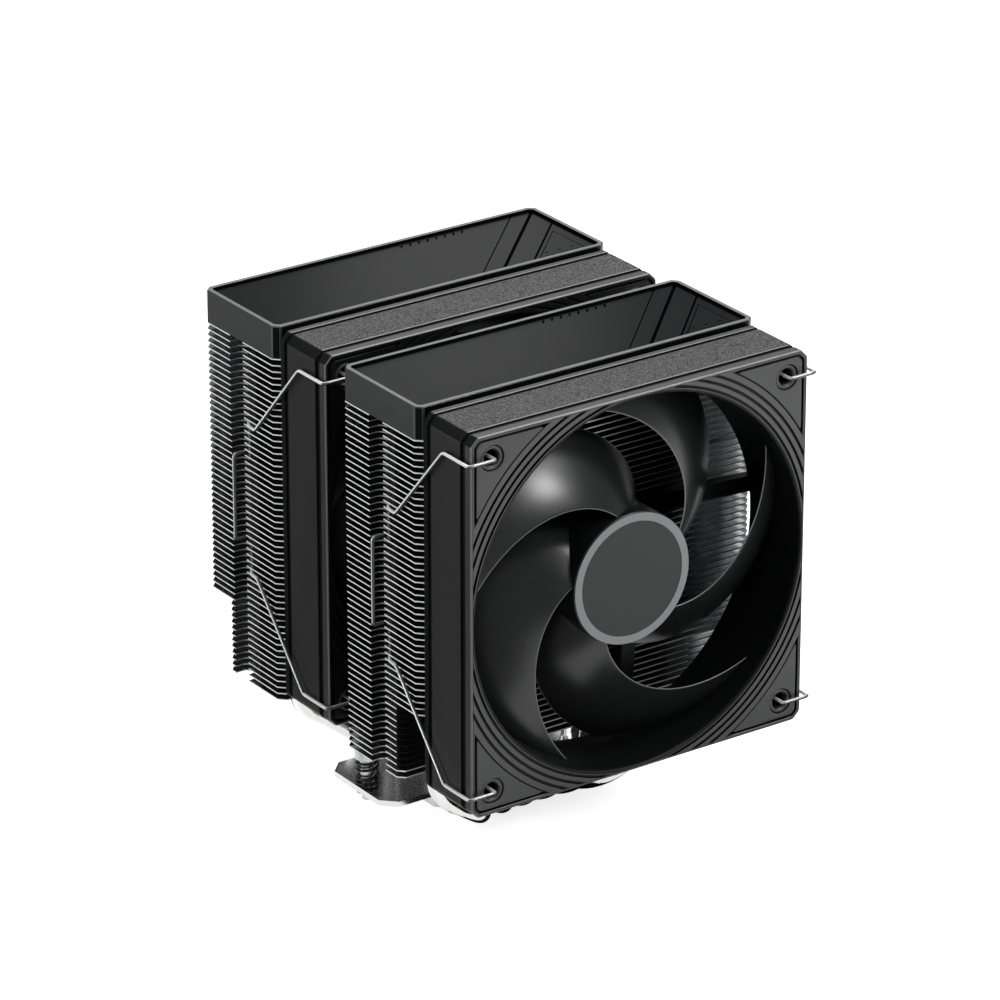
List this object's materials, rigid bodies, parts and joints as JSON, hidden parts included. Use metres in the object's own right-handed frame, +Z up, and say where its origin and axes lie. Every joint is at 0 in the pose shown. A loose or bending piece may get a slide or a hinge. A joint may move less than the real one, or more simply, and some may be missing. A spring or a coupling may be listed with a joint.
{
  "type": "cpu tower cooler",
  "caption": "Dual-tower CPU air cooler: dark fin stacks on nickel-plated heat pipes, with axial fans held by wire clips and a sprung-screw mounting bar.",
  "frame": {"origin": "centre of the cold plate's contact face", "axes": "+Z up from the processor, +X across the fins, -Y towards the front intake fan"},
  "size_m": [0.1274, 0.1425, 0.157],
  "materials": {
    "nickel_plate": "bright nickel plate over copper",
    "clamp_alloy": "milled",
    "bar_steel": "polished nickel plate",
    "screw_steel": "bright nickel plate",
    "spring_steel": "black oxide",
    "ring_steel": "dark zinc",
    "fin_alloy": "black coat with bare cut edges",
    "cover_shell": "satin, lighter bevel",
    "cover_panel": "matte dark grey",
    "fan_plastic": "fine grain",
    "pad_rubber": "matte",
    "blade_plastic": "satin black",
    "trim_alloy": "satin grey",
    "disc_film": "matte",
    "rotor_steel": "zinc plate",
    "ferrite": "sintered",
    "shaft_steel": "ground",
    "keeper_nylon": "natural",
    "bearing_bronze": "sintered bronze",
    "core_steel": "laminated",
    "coil_copper": "enamelled wire",
    "board_laminate": "solder mask",
    "clip_wire": "bright spring wire"
  },
  "bodies": {
    "cooler": {"cold_plate": "nickel_plate", "pipe_clamp": "clamp_alloy", "mounting_bar": "bar_steel", "clamp_screws": "screw_steel", "left_spring": "spring_steel", "right_spring": "spring_steel", "heat_pipe_1": "nickel_plate", "heat_pipe_2": "nickel_plate", "heat_pipe_3": "nickel_plate", "heat_pipe_4": "nickel_plate", "heat_pipe_5": "nickel_plate", "heat_pipe_6": "nickel_plate", "front_fin_stack": "fin_alloy", "front_cover": "cover_shell", "front_cover_panel": "cover_panel", "rear_fin_stack": "fin_alloy", "rear_cover": "cover_shell", "rear_cover_panel": "cover_panel", "front_fan_frame": "fan_plastic", "front_fan_pads": "pad_rubber", "front_bearing": "bearing_bronze", "front_stator_core": "core_steel", "front_stator_coils": "coil_copper", "front_circuit_board": "board_laminate", "middle_fan_frame": "fan_plastic", "middle_fan_pads": "pad_rubber", "middle_bearing": "bearing_bronze", "middle_stator_core": "core_steel", "middle_stator_coils": "coil_copper", "middle_circuit_board": "board_laminate"},
    "front_rotor": {"front_impeller": "blade_plastic", "front_hub_ring": "trim_alloy", "front_hub_disc": "disc_film", "front_rotor_cup": "rotor_steel", "front_magnet_ring": "ferrite", "front_shaft": "shaft_steel", "front_shaft_keeper": "keeper_nylon"},
    "middle_rotor": {"middle_impeller": "blade_plastic", "middle_hub_ring": "trim_alloy", "middle_hub_disc": "disc_film", "middle_rotor_cup": "rotor_steel", "middle_magnet_ring": "ferrite", "middle_shaft": "shaft_steel", "middle_shaft_keeper": "keeper_nylon"},
    "front_left_clip_body": {"front_left_clip": "clip_wire"},
    "front_right_clip_body": {"front_right_clip": "clip_wire"},
    "middle_left_clip_body": {"middle_left_clip": "clip_wire"},
    "middle_right_clip_body": {"middle_right_clip": "clip_wire"},
    "left_retainer": {"left_retaining_ring": "ring_steel"},
    "left_screw": {"left_spring_screw": "screw_steel"},
    "right_retainer": {"right_retaining_ring": "ring_steel"},
    "right_screw": {"right_spring_screw": "screw_steel"}
  },
  "joints": [
    {"name": "front_fan_spin", "type": "hinge", "parent": "cooler", "child": "front_rotor", "pos_m": [0, -0.0832, 0.0962], "axis": [0, -1, 0], "continuous": true},
    {"name": "middle_fan_spin", "type": "hinge", "parent": "cooler", "child": "middle_rotor", "pos_m": [0, -0.0084, 0.0962], "axis": [0, -1, 0], "continuous": true},
    {"name": "front_left_clip_swing", "type": "hinge", "parent": "cooler", "child": "front_left_clip_body", "pos_m": [-0.0525, -0.0832, 0.0962], "axis": [0, 0, 1], "range_deg": [0, 20]},
    {"name": "front_right_clip_swing", "type": "hinge", "parent": "cooler", "child": "front_right_clip_body", "pos_m": [0.0525, -0.0832, 0.0962], "axis": [0, 0, -1], "range_deg": [0, 20]},
    {"name": "middle_left_clip_swing", "type": "hinge", "parent": "cooler", "child": "middle_left_clip_body", "pos_m": [-0.0525, -0.0084, 0.0962], "axis": [0, 0, 1], "range_deg": [0, 20]},
    {"name": "middle_right_clip_swing", "type": "hinge", "parent": "cooler", "child": "middle_right_clip_body", "pos_m": [0.0525, -0.0084, 0.0962], "axis": [0, 0, -1], "range_deg": [0, 20]},
    {"name": "left_screw_press", "type": "slide", "parent": "cooler", "child": "left_retainer", "axis": [0, 0, -1], "range_m": [0, 0.004], "stiffness_N_per_m": 3000, "deforming": ["left_spring"]},
    {"name": "left_screw_turn", "type": "hinge", "parent": "left_retainer", "child": "left_screw", "pos_m": [-0.041, 0, 0.01], "axis": [0, 0, 1], "continuous": true},
    {"name": "right_screw_press", "type": "slide", "parent": "cooler", "child": "right_retainer", "axis": [0, 0, -1], "range_m": [0, 0.004], "stiffness_N_per_m": 3000, "deforming": ["right_spring"]},
    {"name": "right_screw_turn", "type": "hinge", "parent": "right_retainer", "child": "right_screw", "pos_m": [0.041, 0, 0.01], "axis": [0, 0, 1], "continuous": true}
  ]
}
